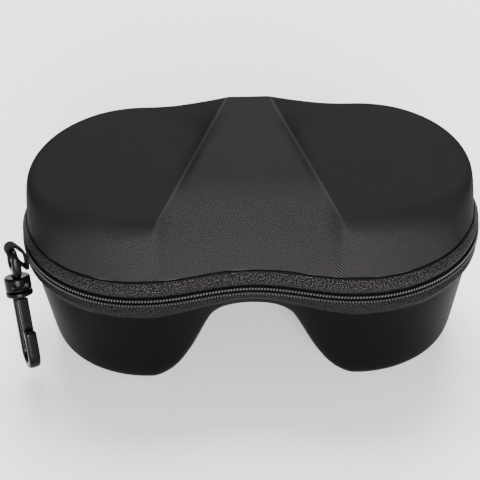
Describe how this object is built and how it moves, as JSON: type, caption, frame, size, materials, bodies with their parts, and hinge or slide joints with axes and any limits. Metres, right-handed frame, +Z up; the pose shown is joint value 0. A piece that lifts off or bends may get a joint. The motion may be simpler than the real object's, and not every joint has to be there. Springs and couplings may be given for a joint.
{
  "type": "moulded zip goggle case",
  "caption": "Zip-round moulded foam hard case shaped like a goggle, with a nose ridge on the lid, an arched recess under the base and a swivel snap hook.",
  "frame": {"origin": "the middle of the flat rest under the rear of the base, on the middle plane, at the height of the surface the case stands on", "axes": "+Z up from the underside to the lid; +X along the case's width, towards the right of someone who faces its front; -Y out of the front, where the nose recess is"},
  "size_m": [0.2083, 0.1094, 0.0945],
  "materials": {
    "cover_cloth": "black twill cloth laminated to the foam, satin on the base",
    "eva_foam": "matt black closed-cell foam",
    "lining_tricot": "matt black knitted lining",
    "binding_cloth": "black ribbed binding and hinge cloth",
    "zip_tape": "coarse black knitted zip tape",
    "zip_coil": "black nylon coil",
    "webbing": "black webbing",
    "slider_metal": "black lacquered die casting",
    "hook_plastic": "glossy black moulded acetal"
  },
  "bodies": {
    "base": {"base_cover": "cover_cloth", "base_foam_shell": "eva_foam", "base_lining": "lining_tricot", "base_rim_binding": "binding_cloth", "zip_tape_lower": "zip_tape", "zip_coil_lower": "zip_coil", "hinge_cloth_lower": "binding_cloth", "hook_strap_loop": "webbing"},
    "lid": {"lid_cover": "cover_cloth", "lid_foam_shell": "eva_foam", "lid_lining": "lining_tricot", "lid_rim_binding": "binding_cloth", "zip_tape_upper": "zip_tape", "zip_coil_upper": "zip_coil", "hinge_cloth_upper": "binding_cloth"},
    "slider": {"zip_slider": "slider_metal"},
    "pull": {"zip_pull": "slider_metal"},
    "eye": {"hook_eye": "hook_plastic"},
    "hook": {"hook_body": "hook_plastic"},
    "gate": {"hook_gate": "hook_plastic"}
  },
  "joints": [
    {"name": "lid_hinge", "type": "hinge", "parent": "base", "child": "lid", "pos_m": [0, 0.0282, 0.055], "axis": [-1, 0, 0], "range_deg": [0, 180]},
    {"name": "slider_run", "type": "hinge", "parent": "base", "child": "slider", "pos_m": [0.046, -0.027, 0.055], "axis": [0, 0, -1], "range_deg": [0, 138]},
    {"name": "pull_swing", "type": "hinge", "parent": "slider", "child": "pull", "pos_m": [0.08418, 0.0185, 0.055], "axis": [0.766, -0.6428, 0], "range_deg": [-10, 100]},
    {"name": "eye_swing", "type": "hinge", "parent": "base", "child": "eye", "pos_m": [-0.10308, -0.04823, 0.0587], "axis": [-0.326, 0.8767, -0.3537], "range_deg": [-4, 95]},
    {"name": "hook_swivel", "type": "hinge", "parent": "eye", "child": "hook", "pos_m": [-0.10308, -0.04823, 0.0587], "axis": [-0.1, 0.34, 0.9351], "continuous": true},
    {"name": "gate_flex", "type": "hinge", "parent": "hook", "child": "gate", "pos_m": [-0.09928, -0.05904, 0.03994], "axis": [0.9108, 0.4096, -0.0515], "range_deg": [0, 15], "stiffness_Nm_per_rad": 0.05, "springref_deg": -2.86}
  ]
}
